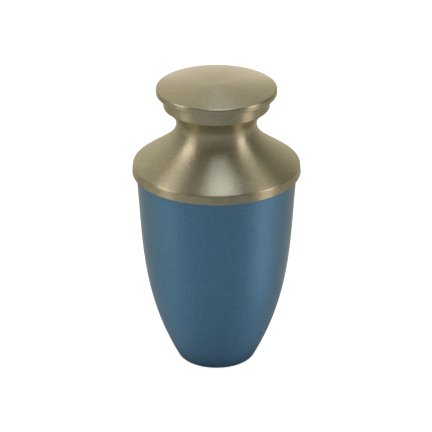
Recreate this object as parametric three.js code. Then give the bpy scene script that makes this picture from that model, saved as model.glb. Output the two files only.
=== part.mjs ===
// A small lidded memorial urn of turned metal: a tapering vessel, a shoulder with a neck, and a lid.
// Millimetres, +Z up. The origin is the centre of the flat foot, and every piece is turned about Z.
import * as THREE from "three";

const at = (radius, height) => new THREE.Vector2(radius, height);

// Driving dimensions: a point is a radius and a height above the foot.

const SIDES = 48; // flats round each turned piece
const WALL = 1.5; // thickness of the vessel and of the shoulder
const FIT_GAP = 0.15; // play between one piece and the piece that slips inside it

// The vessel's side is one curve, from just above the foot to just under the collar.
const SIDE_FOOT = at(10.5, 1.5);
const SIDE_LOW_HANDLE = at(19.65, 19.1);
const SIDE_HIGH_HANDLE = at(18.95, 34.6);
const SIDE_TOP = at(20.25, 50);
const VESSEL_RIM = at(20.5, 53);
const FOOT_EDGE = 0.9;

// The shoulder sits on the vessel's rim, and its collar reaches down round the outside of it.
const COLLAR_LOW = at(21.4, 51.95);
const COLLAR_TOP = at(21.2, 54.22);
const COLLAR_LOW_EDGE = 0.15;
const COLLAR_TOP_EDGE = 0.3;
const NECK_RADIUS = 10.15; // where the neck is narrowest
const NECK_HEIGHT = 65.1;
const COVE_TOP_PULL = 4.35;
const COVE_LOW_HANDLE = at(17.25, 57.4);
const COVE_LOW = at(20.85, 54.5);
const COVE_INSIDE_HANDLE = at(15.6, 56.5);
const COVE_INSIDE_LOW_HEIGHT = 54;
const LIP_RADIUS = 13; // the neck flares out again to a lip that carries the lid
const LIP_PULL = 2.2;
const LIP_EDGE = 0.2;

// The lid rests on the neck's lip: a band, a wider rim over it, a shallow dome, and a hollow spigot below.
const SEAT_HEIGHT = 69.8;
const BAND_RADIUS = 13.4;
const BAND_EDGE = 0.2;
const RIM_RADIUS = 15.2;
const RIM_LOW_HEIGHT = 73.2;
const RIM_TOP_HEIGHT = 74.8;
const RIM_LOW_EDGE = 0.35;
const RIM_TOP_EDGE = 0.45;
const URN_HEIGHT = 76;
const SPIGOT_LENGTH = 5;
const SPIGOT_WALL = 1.5;
const SPIGOT_EDGE = 0.4;
const LID_ROOF_HEIGHT = 73.6;

// Straight steps along each curve
const SIDE_STEPS = 12;
const COVE_STEPS = 14;
const COVE_INSIDE_STEPS = 7;
const LIP_STEPS = 6;
const DOME_STEPS = 5;
const EDGE_STEPS = 2;

// Finishes
const BLUE_LACQUER = new THREE.MeshStandardMaterial({ color: 0x3d5c70, roughness: 0.4, metalness: 0.5 });
const BRUSHED_METAL = new THREE.MeshStandardMaterial({ color: 0xa39c82, roughness: 0.4, metalness: 0.9 });

// The points of a rounded corner, which begins and ends a setback away from the sharp one.
function roundedCorner(before, corner, after, setback) {
  const towards = (end) => end.clone().sub(corner).setLength(setback).add(corner);
  return new THREE.QuadraticBezierCurve(towards(before), corner, towards(after)).getPoints(EDGE_STEPS);
}

// The inner face of a wall of even thickness: the curve's points, each moved square to the curve.
function insideOf(curve, thickness, steps) {
  return Array.from({ length: steps + 1 }, (_, step) => {
    const tangent = curve.getTangent(step / steps);
    return curve.getPoint(step / steps).add(at(-tangent.y, tangent.x).multiplyScalar(thickness));
  });
}

// The open cup below: foot, side, rim, and the same side again from within.
function vesselProfile() {
  const side = new THREE.CubicBezierCurve(SIDE_FOOT, SIDE_LOW_HANDLE, SIDE_HIGH_HANDLE, SIDE_TOP);
  const inside = insideOf(side, WALL, SIDE_STEPS).reverse();
  const lean = side.getTangent(0);
  const footCorner = at(SIDE_FOOT.x - (SIDE_FOOT.y * lean.x) / lean.y, 0);
  const footCentre = at(0, 0);
  return [
    footCentre,
    ...roundedCorner(footCentre, footCorner, SIDE_FOOT, FOOT_EDGE),
    ...side.getPoints(SIDE_STEPS),
    VESSEL_RIM,
    at(VESSEL_RIM.x - WALL, VESSEL_RIM.y),
    ...inside,
    at(0, inside.at(-1).y),
  ];
}

// The ring above: collar, cove, neck and lip outside, then the bore, the ledge on the rim and the skirt.
function shoulderProfile() {
  const neck = at(NECK_RADIUS, NECK_HEIGHT);
  const cove = new THREE.CubicBezierCurve(
    COVE_LOW,
    COVE_LOW_HANDLE,
    at(NECK_RADIUS, NECK_HEIGHT - COVE_TOP_PULL),
    neck,
  );
  const lip = at(LIP_RADIUS, SEAT_HEIGHT);
  const flare = new THREE.QuadraticBezierCurve(neck, at(NECK_RADIUS, NECK_HEIGHT + LIP_PULL), lip);
  const flarePoints = flare.getPoints(LIP_STEPS).slice(1, -1);
  const boreRadius = NECK_RADIUS - WALL;
  const coveInside = new THREE.CubicBezierCurve(
    at(boreRadius, NECK_HEIGHT),
    at(boreRadius, NECK_HEIGHT - COVE_TOP_PULL),
    COVE_INSIDE_HANDLE,
    at(VESSEL_RIM.x - WALL, COVE_INSIDE_LOW_HEIGHT),
  );
  const boreRim = at(boreRadius, SEAT_HEIGHT);
  const skirtLow = at(VESSEL_RIM.x + FIT_GAP, COLLAR_LOW.y);
  return [
    skirtLow,
    ...roundedCorner(skirtLow, COLLAR_LOW, COLLAR_TOP, COLLAR_LOW_EDGE),
    ...roundedCorner(COLLAR_LOW, COLLAR_TOP, COVE_LOW, COLLAR_TOP_EDGE),
    ...cove.getPoints(COVE_STEPS),
    ...flarePoints,
    ...roundedCorner(flarePoints.at(-1), lip, boreRim, LIP_EDGE),
    boreRim,
    ...coveInside.getPoints(COVE_INSIDE_STEPS),
    at(VESSEL_RIM.x - WALL, VESSEL_RIM.y),
    at(VESSEL_RIM.x + FIT_GAP, VESSEL_RIM.y),
    skirtLow,
  ];
}

// The lid, from the roof of its hollow down round the spigot, out under the band and up over the dome.
function lidProfile() {
  const spigotRadius = NECK_RADIUS - WALL - FIT_GAP;
  const hollowRadius = spigotRadius - SPIGOT_WALL;
  const spigotEnd = SEAT_HEIGHT - SPIGOT_LENGTH;
  const spigotInner = at(hollowRadius, spigotEnd);
  const spigotCorner = at(spigotRadius, spigotEnd);
  const seatInner = at(spigotRadius, SEAT_HEIGHT);
  const bandCorner = at(BAND_RADIUS, SEAT_HEIGHT);
  const bandTop = at(BAND_RADIUS, RIM_LOW_HEIGHT);
  const rimLow = at(RIM_RADIUS, RIM_LOW_HEIGHT);
  const rimTop = at(RIM_RADIUS, RIM_TOP_HEIGHT);
  const apex = at(0, URN_HEIGHT);
  const dome = new THREE.QuadraticBezierCurve(rimTop, at(RIM_RADIUS / 2, URN_HEIGHT), apex);
  const domePoints = dome.getPoints(DOME_STEPS).slice(1);
  return [
    at(0, LID_ROOF_HEIGHT),
    at(hollowRadius, LID_ROOF_HEIGHT),
    spigotInner,
    ...roundedCorner(spigotInner, spigotCorner, seatInner, SPIGOT_EDGE),
    seatInner,
    ...roundedCorner(seatInner, bandCorner, bandTop, BAND_EDGE),
    bandTop,
    ...roundedCorner(bandTop, rimLow, rimTop, RIM_LOW_EDGE),
    ...roundedCorner(rimLow, rimTop, domePoints[0], RIM_TOP_EDGE),
    ...domePoints,
  ];
}

// One solid of revolution about Z.
function turned(name, profile, material) {
  const geometry = new THREE.LatheGeometry(profile, SIDES);
  geometry.rotateX(Math.PI / 2);
  const mesh = new THREE.Mesh(geometry, material);
  mesh.name = name;
  return mesh;
}

const urn = new THREE.Group();
urn.name = "urn";
urn.add(
  turned("vessel", vesselProfile(), BLUE_LACQUER),
  turned("shoulder", shoulderProfile(), BRUSHED_METAL),
  turned("lid", lidProfile(), BRUSHED_METAL),
);

export default urn;
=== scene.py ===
"""A keepsake funeral urn: its finishes, a small studio and the camera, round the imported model."""
import math

import bpy
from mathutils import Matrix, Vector


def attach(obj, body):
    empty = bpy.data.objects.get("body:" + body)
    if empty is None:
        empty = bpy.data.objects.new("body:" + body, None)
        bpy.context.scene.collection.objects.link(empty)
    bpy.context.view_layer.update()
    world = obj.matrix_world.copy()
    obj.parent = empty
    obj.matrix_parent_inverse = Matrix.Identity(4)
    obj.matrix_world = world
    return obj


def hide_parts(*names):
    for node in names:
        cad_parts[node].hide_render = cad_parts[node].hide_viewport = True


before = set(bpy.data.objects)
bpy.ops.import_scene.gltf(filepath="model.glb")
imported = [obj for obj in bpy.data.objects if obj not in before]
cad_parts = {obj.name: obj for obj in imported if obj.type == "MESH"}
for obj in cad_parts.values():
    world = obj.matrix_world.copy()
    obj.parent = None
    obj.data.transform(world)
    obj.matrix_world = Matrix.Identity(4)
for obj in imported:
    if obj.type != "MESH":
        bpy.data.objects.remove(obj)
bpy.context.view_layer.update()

MM = 0.001


def at(radius, height):
    """A point of a turned profile: its radius and its height above the foot."""
    return Vector((radius, height))


# The urn's sizes in millimetres: the same driving dimensions as the solids that these pieces replace
WALL = 1.5
FIT_GAP = 0.15

SIDE_FOOT = at(10.5, 1.5)
SIDE_LOW_HANDLE = at(19.65, 19.1)
SIDE_HIGH_HANDLE = at(18.95, 34.6)
SIDE_TOP = at(20.25, 50)
VESSEL_RIM = at(20.5, 53)
FOOT_EDGE = 0.9

COLLAR_LOW = at(21.4, 51.95)
COLLAR_TOP = at(21.2, 54.22)
COLLAR_LOW_EDGE = 0.15
COLLAR_TOP_EDGE = 0.3
NECK_RADIUS = 10.15
NECK_HEIGHT = 65.1
COVE_TOP_PULL = 4.35
COVE_LOW_HANDLE = at(17.25, 57.4)
COVE_LOW = at(20.85, 54.5)
COVE_INSIDE_HANDLE = at(15.6, 56.5)
COVE_INSIDE_LOW_HEIGHT = 54
LIP_RADIUS = 13
LIP_PULL = 2.2
LIP_EDGE = 0.2

SEAT_HEIGHT = 69.8
BAND_RADIUS = 13.4
BAND_EDGE = 0.2
RIM_RADIUS = 15.2
RIM_LOW_HEIGHT = 73.2
RIM_TOP_HEIGHT = 74.8
RIM_LOW_EDGE = 0.35
RIM_TOP_EDGE = 0.45
URN_HEIGHT = 76
SPIGOT_LENGTH = 5
SPIGOT_WALL = 1.5
SPIGOT_EDGE = 0.4
LID_ROOF_HEIGHT = 73.6

# The edges that the solids leave sharp are rounded by this much
INNER_EDGE = 0.12

# Mesh fineness; a rounded corner's supporting points lie this many setbacks from the sharp corner
SEGMENTS = 192
CURVE_STEPS = 40
EDGE_STEPS = 8
SUPPORT = 1.2

# Noise: the range it mostly lies in, and how strong each finer octave is
NOISE_LOW = 0.3
NOISE_HIGH = 0.7
NOISE_ROUGHNESS = 0.6

# Turned lines: lines to a metre of profile, how finely they break up round the axis, and octaves of noise
METAL_LINES = {"along": 1700, "around": 14, "detail": 2}
LACQUER_LINES = {"along": 2200, "around": 6, "detail": 3}
DASHES = {"along": 2600, "around": 30, "detail": 2}

# A quarter turn stretches the highlights along the profile, square to the turned lines
HIGHLIGHT_TURN = 0.25

# The metal; its rounded outer edges are rubbed smoother than its faces
METAL_DARK = (0.478, 0.433, 0.302)
METAL_LIGHT = (0.66, 0.596, 0.416)
METAL_DASHES_SHARE = 0.4
METAL_GRAIN_STRENGTH = 1.0
METAL_GRAIN_DEPTH = 0.04 * MM
METAL_SMOOTHEST = 0.31
METAL_ROUGHEST = 0.38
METAL_EDGE_RUB = 0.06
METAL_ANISOTROPY = 0.7

# A surface's pointiness where an outer edge begins, and on its crest
EDGE_START = 0.505
EDGE_FULL = 0.515

# The lacquer, and the clear coat over it
LACQUER_DARK = (0.118, 0.299, 0.490)
LACQUER_LIGHT = (0.181, 0.444, 0.722)
LACQUER_TINT = (1.0, 0.92, 0.8)
LACQUER_DASHES_SHARE = 0.7
LACQUER_GRAIN_STRENGTH = 0.8
LACQUER_GRAIN_DEPTH = 0.03 * MM
LACQUER_SMOOTHEST = 0.53
LACQUER_ROUGHEST = 0.63
LACQUER_METALLIC = 0.9
LACQUER_ANISOTROPY = 0.6
COAT_WEIGHT = 0.8
COAT_ROUGHNESS = 0.3

# The stage, in metres: a white sweep, and a grey card under the urn with painted shade, darkest close to the
# foot
SWEEP_RADIUS = 4.0
SWEEP_HEIGHT = -0.05 * MM
SWEEP_SHADE = 0.5
SWEEP_ROUGHNESS = 0.9
SWEEP_GLOW = 0.92
CARD_RADIUS = 45 * MM
CARD_HEIGHT = -0.1 * MM
CARD_SHADE = 0.68
# The card's painted contact shade: darkest within the first radius, gone by the second
CARD_PAINTED_SHADE_RADIUS = 11 * MM
CARD_PALE_RADIUS = 14 * MM
CARD_PAINTED_SHADE = 0.35

# The light
LAMP_DISTANCE = 1.0
LAMP_TARGET = Vector((0, 0, 0))
COOL = (0.89, 1.0, 1.18)
PALE = (1.02, 0.96, 0.98)
WARM = (1.0, 0.965, 0.83)
AMBER = (1.0, 0.86, 0.6)
ROOM_LIGHT = 0.19

# The room's pools of light: azimuth, elevation, narrowness, brightness (minus takes light away) and colour
POOLS = (
    (212, 25, 5, 0.34, WARM),
    (150, 12, 5, 0.13, WARM),
    (180, -20, 4, 0.31, AMBER),
    (0, -35, 3, 0.22, COOL),
    (-60, -12, 9, 0.15, AMBER),
    (140, -48, 6, 0.08, WARM),
    (10, -7, 9, -0.10, COOL),
    (0, 55, 4, -0.065, PALE),
    (115, 32, 6, -0.08, PALE),
)

# The camera: the photograph's height of view, worked out from the ellipses of the rim, collar and foot
CAMERA_ELEVATION = 25.1
CAMERA_DISTANCE = 0.64
CAMERA_TARGET = Vector((-0.13, 0, 39.15)) * MM
CAMERA_SENSOR = 36
CAMERA_LENS = 208.33
CAMERA_NEAR = 0.01
CAMERA_FAR = 20


# Profiles: lists of points, each with the setback of its rounded corner, or nought

def curve(handles, steps=CURVE_STEPS):
    """Points along a Bezier curve with any number of handles."""
    points = []
    for step in range(steps + 1):
        level = list(handles)
        share = step / steps
        while len(level) > 1:
            level = [a.lerp(b, share) for a, b in zip(level, level[1:])]
        points.append(level[0])
    return points


def plain(points):
    """Profile points that are not corners."""
    return [(point, 0) for point in points]


def clear_of(points, corner, setback):
    """The points of a curve that lie beyond the rounding of the corner it meets."""
    return [point for point in points if (point - corner).length > setback * SUPPORT]


def set_in(points, distance):
    """An even wall's other face: each point moved square to the line through its neighbours."""
    moved = []
    for index, point in enumerate(points):
        before = points[max(index - 1, 0)]
        after = points[min(index + 1, len(points) - 1)]
        along = (after - before).normalized()
        moved.append(point + Vector((-along.y, along.x)) * distance)
    return moved


def soften(corners):
    """The profile's points; a corner with a setback is rounded off between two supporting points."""
    points = []
    for index, (corner, setback) in enumerate(corners):
        if setback == 0:
            points.append(corner)
            continue
        back = (corners[index - 1][0] - corner).normalized() * setback
        ahead = (corners[(index + 1) % len(corners)][0] - corner).normalized() * setback
        points.append(corner + back * SUPPORT)
        points.extend(curve([corner + back, corner, corner + ahead], EDGE_STEPS))
        points.append(corner + ahead * SUPPORT)
    return points


def vessel_profile():
    """The open cup: foot, side, rim, and the same side again from within."""
    side = curve([SIDE_FOOT, SIDE_LOW_HANDLE, SIDE_HIGH_HANDLE, SIDE_TOP])
    inside = set_in(side, WALL)
    lean = SIDE_LOW_HANDLE - SIDE_FOOT
    foot_corner = at(SIDE_FOOT.x - SIDE_FOOT.y * lean.x / lean.y, 0)
    return [
        (at(0, 0), 0),
        (foot_corner, FOOT_EDGE),
        *plain(side),
        (VESSEL_RIM, INNER_EDGE),
        (at(VESSEL_RIM.x - WALL, VESSEL_RIM.y), INNER_EDGE),
        *plain(reversed(inside[1:])),
        (inside[0], INNER_EDGE),
        (at(0, inside[0].y), 0),
    ]


def shoulder_profile():
    """Collar, cove, neck and lip on the outside, then the bore, the ledge on the rim and the skirt."""
    bore = NECK_RADIUS - WALL
    skirt = VESSEL_RIM.x + FIT_GAP
    inner = VESSEL_RIM.x - WALL
    cove_top = NECK_HEIGHT - COVE_TOP_PULL
    neck = at(NECK_RADIUS, NECK_HEIGHT)
    cove = curve([COVE_LOW, COVE_LOW_HANDLE, at(NECK_RADIUS, cove_top), neck])
    lip = at(LIP_RADIUS, SEAT_HEIGHT)
    flare = curve([neck, at(NECK_RADIUS, NECK_HEIGHT + LIP_PULL), lip])
    inside_low = at(inner, COVE_INSIDE_LOW_HEIGHT)
    inside = curve([at(bore, NECK_HEIGHT), at(bore, cove_top), COVE_INSIDE_HANDLE, inside_low])
    return [
        (at(skirt, COLLAR_LOW.y), INNER_EDGE),
        (COLLAR_LOW, COLLAR_LOW_EDGE),
        (COLLAR_TOP, COLLAR_TOP_EDGE),
        *plain(cove),
        *plain(clear_of(flare[1:], lip, LIP_EDGE)),
        (lip, LIP_EDGE),
        (at(bore, SEAT_HEIGHT), INNER_EDGE),
        *plain(inside[:-1]),
        (inside_low, INNER_EDGE),
        (at(inner, VESSEL_RIM.y), INNER_EDGE),
        (at(skirt, VESSEL_RIM.y), INNER_EDGE),
    ]


def lid_profile():
    """The lid, from the roof of its hollow down round the spigot, out under the band and up over the dome."""
    spigot = NECK_RADIUS - WALL - FIT_GAP
    hollow = spigot - SPIGOT_WALL
    spigot_end = SEAT_HEIGHT - SPIGOT_LENGTH
    rim_top = at(RIM_RADIUS, RIM_TOP_HEIGHT)
    dome = curve([rim_top, at(RIM_RADIUS / 2, URN_HEIGHT), at(0, URN_HEIGHT)])
    return [
        (at(0, LID_ROOF_HEIGHT), 0),
        (at(hollow, LID_ROOF_HEIGHT), INNER_EDGE),
        (at(hollow, spigot_end), INNER_EDGE),
        (at(spigot, spigot_end), SPIGOT_EDGE),
        (at(spigot, SEAT_HEIGHT), INNER_EDGE),
        (at(BAND_RADIUS, SEAT_HEIGHT), BAND_EDGE),
        (at(BAND_RADIUS, RIM_LOW_HEIGHT), INNER_EDGE),
        (at(RIM_RADIUS, RIM_LOW_HEIGHT), RIM_LOW_EDGE),
        (rim_top, RIM_TOP_EDGE),
        *plain(clear_of(dome, rim_top, RIM_TOP_EDGE)),
    ]


# Pieces

def new_object(name, data):
    """An object in the scene that holds a mesh, a lamp or a camera."""
    made = bpy.data.objects.new(name, data)
    bpy.context.scene.collection.objects.link(made)
    return made


def circle(radius, height):
    """The points of a level circle about the Z axis, in metres."""
    turns = [2 * math.pi * segment / SEGMENTS for segment in range(SEGMENTS)]
    return [(radius * math.cos(turn), radius * math.sin(turn), height) for turn in turns]


def ring(vertices, point):
    """Adds one ring of the turned mesh, or its single point on the axis, and gives the vertex numbers."""
    first = len(vertices)
    if point.x == 0:
        vertices.append((0, 0, point.y * MM))
        return [first] * SEGMENTS
    vertices.extend(circle(point.x * MM, point.y * MM))
    return list(range(first, first + SEGMENTS))


def turned(node, profile, material):
    """One closed mesh of revolution about Z, which stands for the named node."""
    vertices = []
    rings = [ring(vertices, point) for point in soften(profile)]
    if profile[0][0].x > 0:
        rings.append(rings[0])
    faces = []
    for low, high in zip(rings, rings[1:]):
        for here in range(SEGMENTS):
            there = (here + 1) % SEGMENTS
            face = dict.fromkeys((low[here], low[there], high[there], high[here]))
            faces.append(tuple(face))
    mesh = bpy.data.meshes.new(node + "_turned")
    mesh.from_pydata(vertices, [], faces)
    mesh.materials.append(material)
    mesh.shade_smooth()
    piece = new_object(node + "_turned", mesh)
    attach(piece, "root")
    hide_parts(node)


# Materials

def make(tree, kind, inputs=None, **settings):
    """A shader node with its settings; each input is a value or another node's output."""
    made = tree.nodes.new("ShaderNode" + kind)
    for name, value in settings.items():
        setattr(made, name, value)
    for key, value in (inputs or {}).items():
        if isinstance(value, bpy.types.NodeSocket):
            tree.links.new(value, made.inputs[key])
        else:
            made.inputs[key].default_value = value
    return made


def number(tree, operation, *terms):
    """The outcome of one step of arithmetic."""
    return make(tree, "Math", dict(enumerate(terms)), operation=operation).outputs[0]


def remap(tree, value, start, end, low, high):
    """A value stretched from the range start to end into the range low to high, and kept inside it."""
    return make(tree, "MapRange", {
        "Value": value,
        "From Min": start,
        "From Max": end,
        "To Min": low,
        "To Max": high,
    }).outputs["Result"]


def turned_noise(tree, along, around, detail):
    """Noise drawn out into lines that run round the axis."""
    place = make(tree, "TexCoord").outputs["Object"]
    parts = make(tree, "SeparateXYZ", {0: place}).outputs
    flat = make(tree, "CombineXYZ", {"X": parts["X"], "Y": parts["Y"]}).outputs[0]
    radius = make(tree, "VectorMath", {0: flat}, operation="LENGTH").outputs["Value"]
    down = number(tree, "SUBTRACT", radius, parts["Z"])
    step = make(tree, "CombineXYZ", {"Z": number(tree, "MULTIPLY", down, along)}).outputs[0]
    turn = make(tree, "VectorMath", {0: flat}, operation="NORMALIZE").outputs["Vector"]
    reach = make(tree, "VectorMath", {0: turn, "Scale": around}, operation="SCALE").outputs["Vector"]
    where = make(tree, "VectorMath", {0: reach, 1: step}, operation="ADD").outputs["Vector"]
    return make(tree, "TexNoise", {
        "Vector": where,
        "Scale": 1.0,
        "Detail": detail,
        "Roughness": NOISE_ROUGHNESS,
    }).outputs["Fac"]


def blend(tree, first, second, share):
    """Two noises in one, with the given share of the second."""
    part = number(tree, "MULTIPLY", first, 1 - share)
    return number(tree, "MULTIPLY_ADD", second, share, part)


def shades(tree, noise, dark, light):
    """A noise turned into shades from dark to light."""
    ramp = make(tree, "ValToRGB", {"Fac": noise})
    first, last = ramp.color_ramp.elements
    first.position = NOISE_LOW
    first.color = (*dark, 1)
    last.position = NOISE_HIGH
    last.color = (*light, 1)
    return ramp.outputs["Color"]


def edges(tree):
    """One on the crest of an outer edge, nought on the faces."""
    pointiness = make(tree, "NewGeometry").outputs["Pointiness"]
    return remap(tree, pointiness, EDGE_START, EDGE_FULL, 0, 1)


def new_material(name):
    """A material with no nodes yet, and its node tree."""
    material = bpy.data.materials.new(name)
    material.use_nodes = True
    material.node_tree.nodes.clear()
    return material, material.node_tree


def brushed_metal():
    """Grey, slightly warm metal with satin lines that run round the axis."""
    material, tree = new_material("brushed_metal")
    lines = turned_noise(tree, **METAL_LINES)
    dashes = turned_noise(tree, **DASHES)
    grain = blend(tree, lines, dashes, METAL_DASHES_SHARE)
    bump = make(tree, "Bump", {
        "Height": grain,
        "Strength": METAL_GRAIN_STRENGTH,
        "Distance": METAL_GRAIN_DEPTH,
    })
    satin = remap(tree, grain, NOISE_LOW, NOISE_HIGH, METAL_SMOOTHEST, METAL_ROUGHEST)
    shader = make(tree, "BsdfPrincipled", {
        "Base Color": shades(tree, grain, METAL_DARK, METAL_LIGHT),
        "Roughness": number(tree, "MULTIPLY_ADD", edges(tree), -METAL_EDGE_RUB, satin),
        "Normal": bump.outputs["Normal"],
        "Metallic": 1.0,
        "Anisotropic": METAL_ANISOTROPY,
        "Anisotropic Rotation": HIGHLIGHT_TURN,
    })
    make(tree, "OutputMaterial", {"Surface": shader.outputs[0]})
    return material


def blue_lacquer():
    """Satin metallic blue over fine turned lines, under a thin clear coat."""
    material, tree = new_material("blue_lacquer")
    lines = turned_noise(tree, **LACQUER_LINES)
    dashes = turned_noise(tree, **DASHES)
    grain = blend(tree, lines, dashes, LACQUER_DASHES_SHARE)
    bump = make(tree, "Bump", {
        "Height": grain,
        "Strength": LACQUER_GRAIN_STRENGTH,
        "Distance": LACQUER_GRAIN_DEPTH,
    })
    shader = make(tree, "BsdfPrincipled", {
        "Base Color": shades(tree, grain, LACQUER_DARK, LACQUER_LIGHT),
        "Roughness": remap(tree, grain, NOISE_LOW, NOISE_HIGH, LACQUER_SMOOTHEST, LACQUER_ROUGHEST),
        "Normal": bump.outputs["Normal"],
        "Metallic": LACQUER_METALLIC,
        "Specular Tint": (*LACQUER_TINT, 1),
        "Anisotropic": LACQUER_ANISOTROPY,
        "Anisotropic Rotation": HIGHLIGHT_TURN,
        "Coat Weight": COAT_WEIGHT,
        "Coat Roughness": COAT_ROUGHNESS,
    })
    make(tree, "OutputMaterial", {"Surface": shader.outputs[0]})
    return material


# Studio

def sweep_material():
    """Matt white that glows enough to stay white in the urn's shade."""
    material, tree = new_material("floor")
    shader = make(tree, "BsdfPrincipled", {
        "Base Color": (SWEEP_SHADE, SWEEP_SHADE, SWEEP_SHADE, 1),
        "Roughness": SWEEP_ROUGHNESS,
        "Specular IOR Level": 0.0,
        "Emission Color": (1, 1, 1, 1),
        "Emission Strength": SWEEP_GLOW,
    })
    make(tree, "OutputMaterial", {"Surface": shader.outputs[0]})
    return material


def card_material():
    """Matt grey with painted shade that darkens it close to the foot."""
    material, tree = new_material("floor_card")
    place = make(tree, "TexCoord").outputs["Object"]
    reach = make(tree, "VectorMath", {0: place}, operation="LENGTH").outputs["Value"]
    # Painted shade: the card's grey is darkened close to the foot, where the urn's contact shade falls
    grey_and_painted_shade = remap(tree, reach, CARD_PAINTED_SHADE_RADIUS, CARD_PALE_RADIUS, CARD_PAINTED_SHADE, CARD_SHADE)
    shader = make(tree, "BsdfDiffuse", {"Color": grey_and_painted_shade})
    make(tree, "OutputMaterial", {"Surface": shader.outputs[0]})
    return material


def floor_disc(name, radius, height, material):
    """A flat disc of the stage, with its middle under the urn."""
    mesh = bpy.data.meshes.new(name)
    mesh.from_pydata(circle(radius, height), [], [range(SEGMENTS)])
    mesh.materials.append(material)
    disc = new_object(name, mesh)
    return disc


def floor():
    """A white sweep that only the camera sees, and a grey card under the urn that the camera doesn't see."""
    sweep = floor_disc("floor", SWEEP_RADIUS, SWEEP_HEIGHT, sweep_material())
    sweep.visible_diffuse = False
    sweep.visible_glossy = False
    sweep.visible_shadow = False
    card = floor_disc("floor_card", CARD_RADIUS, CARD_HEIGHT, card_material())
    card.visible_camera = False


def direction(azimuth, elevation):
    """The way out from the urn, in degrees; azimuth 0 is the camera's side, 90 its right and 180 behind."""
    turn = math.radians(azimuth)
    rise = math.radians(elevation)
    return Vector((math.sin(turn) * math.cos(rise), -math.cos(turn) * math.cos(rise), math.sin(rise)))


def face(thing, target, away, distance):
    """Puts a lamp or camera at a distance from its target, and turns it to face the target."""
    thing.location = target + away * distance
    thing.rotation_euler = away.to_track_quat("Z", "Y").to_euler()


def softbox(name, azimuth, elevation, size, luminance, colour):
    """A rectangular lamp that faces the urn's foot; its size is a width and a height in metres."""
    width, height = size
    data = bpy.data.lights.new(name, "AREA")
    data.shape = "RECTANGLE"
    data.size = width
    data.size_y = height
    data.color = colour
    data.energy = luminance * math.pi * width * height
    face(new_object(name, data), LAMP_TARGET, direction(azimuth, elevation), LAMP_DISTANCE)


def softboxes():
    """Two lamps overhead, a bank of lamps down each side that reaches round to the back, and one behind."""
    softbox("overhead", 90, 87, size=(0.70, 0.36), luminance=1.48, colour=COOL)
    softbox("overhead_back", 178, 60, size=(0.36, 0.36), luminance=0.32, colour=COOL)
    softbox("right", 71, 14, size=(0.36, 0.56), luminance=1.54, colour=PALE)
    softbox("right_upper", 82, 42, size=(0.36, 0.34), luminance=1.12, colour=PALE)
    softbox("right_top", 104, 58, size=(0.45, 0.28), luminance=0.38, colour=WARM)
    softbox("right_low", 70, -16, size=(0.40, 0.26), luminance=0.78, colour=AMBER)
    softbox("right_low_back", 102, -20, size=(0.44, 0.30), luminance=0.19, colour=AMBER)
    softbox("right_deep", 76, -34, size=(0.50, 0.30), luminance=0.48, colour=PALE)
    softbox("left", -72, 14, size=(0.38, 0.56), luminance=0.84, colour=WARM)
    softbox("left_upper", -83, 42, size=(0.42, 0.34), luminance=1.84, colour=PALE)
    softbox("left_top", -110, 58, size=(0.50, 0.30), luminance=0.37, colour=PALE)
    softbox("left_low", -70, -16, size=(0.40, 0.26), luminance=0.46, colour=PALE)
    softbox("left_low_back", -102, -20, size=(0.44, 0.30), luminance=0.25, colour=WARM)
    softbox("back", 180, 9, size=(0.34, 0.30), luminance=1.24, colour=PALE)


def room():
    """A dim, even room with the pools of light in it, which the urn mirrors between the lamps."""
    world = bpy.data.worlds.new("studio")
    world.use_nodes = True
    tree = world.node_tree
    tree.nodes.clear()
    towards = make(tree, "TexCoord").outputs["Generated"]
    total = Vector(WARM) * ROOM_LIGHT
    for azimuth, elevation, narrowness, brightness, colour in POOLS:
        middle = direction(azimuth, elevation)
        nearness = make(tree, "VectorMath", {0: towards, 1: middle}, operation="DOT_PRODUCT").outputs["Value"]
        fall = number(tree, "MULTIPLY_ADD", nearness, narrowness, -narrowness)
        share = number(tree, "EXPONENT", fall)
        light = Vector(colour) * brightness
        pool = make(tree, "VectorMath", {0: light, "Scale": share}, operation="SCALE").outputs[0]
        total = make(tree, "VectorMath", {0: pool, 1: total}, operation="ADD").outputs[0]
    background = make(tree, "Background", {"Color": total, "Strength": 1.0})
    make(tree, "OutputWorld", {"Surface": background.outputs[0]})
    bpy.context.scene.world = world


def camera():
    """The photograph's view of the urn."""
    data = bpy.data.cameras.new("camera")
    data.sensor_width = CAMERA_SENSOR
    data.lens = CAMERA_LENS
    data.clip_start = CAMERA_NEAR
    data.clip_end = CAMERA_FAR
    view = new_object("camera", data)
    face(view, CAMERA_TARGET, direction(0, CAMERA_ELEVATION), CAMERA_DISTANCE)
    bpy.context.scene.camera = view


metal = brushed_metal()
turned("vessel", vessel_profile(), blue_lacquer())
turned("shoulder", shoulder_profile(), metal)
turned("lid", lid_profile(), metal)
floor()
softboxes()
room()
camera()
bpy.context.scene.view_settings.view_transform = "Standard"
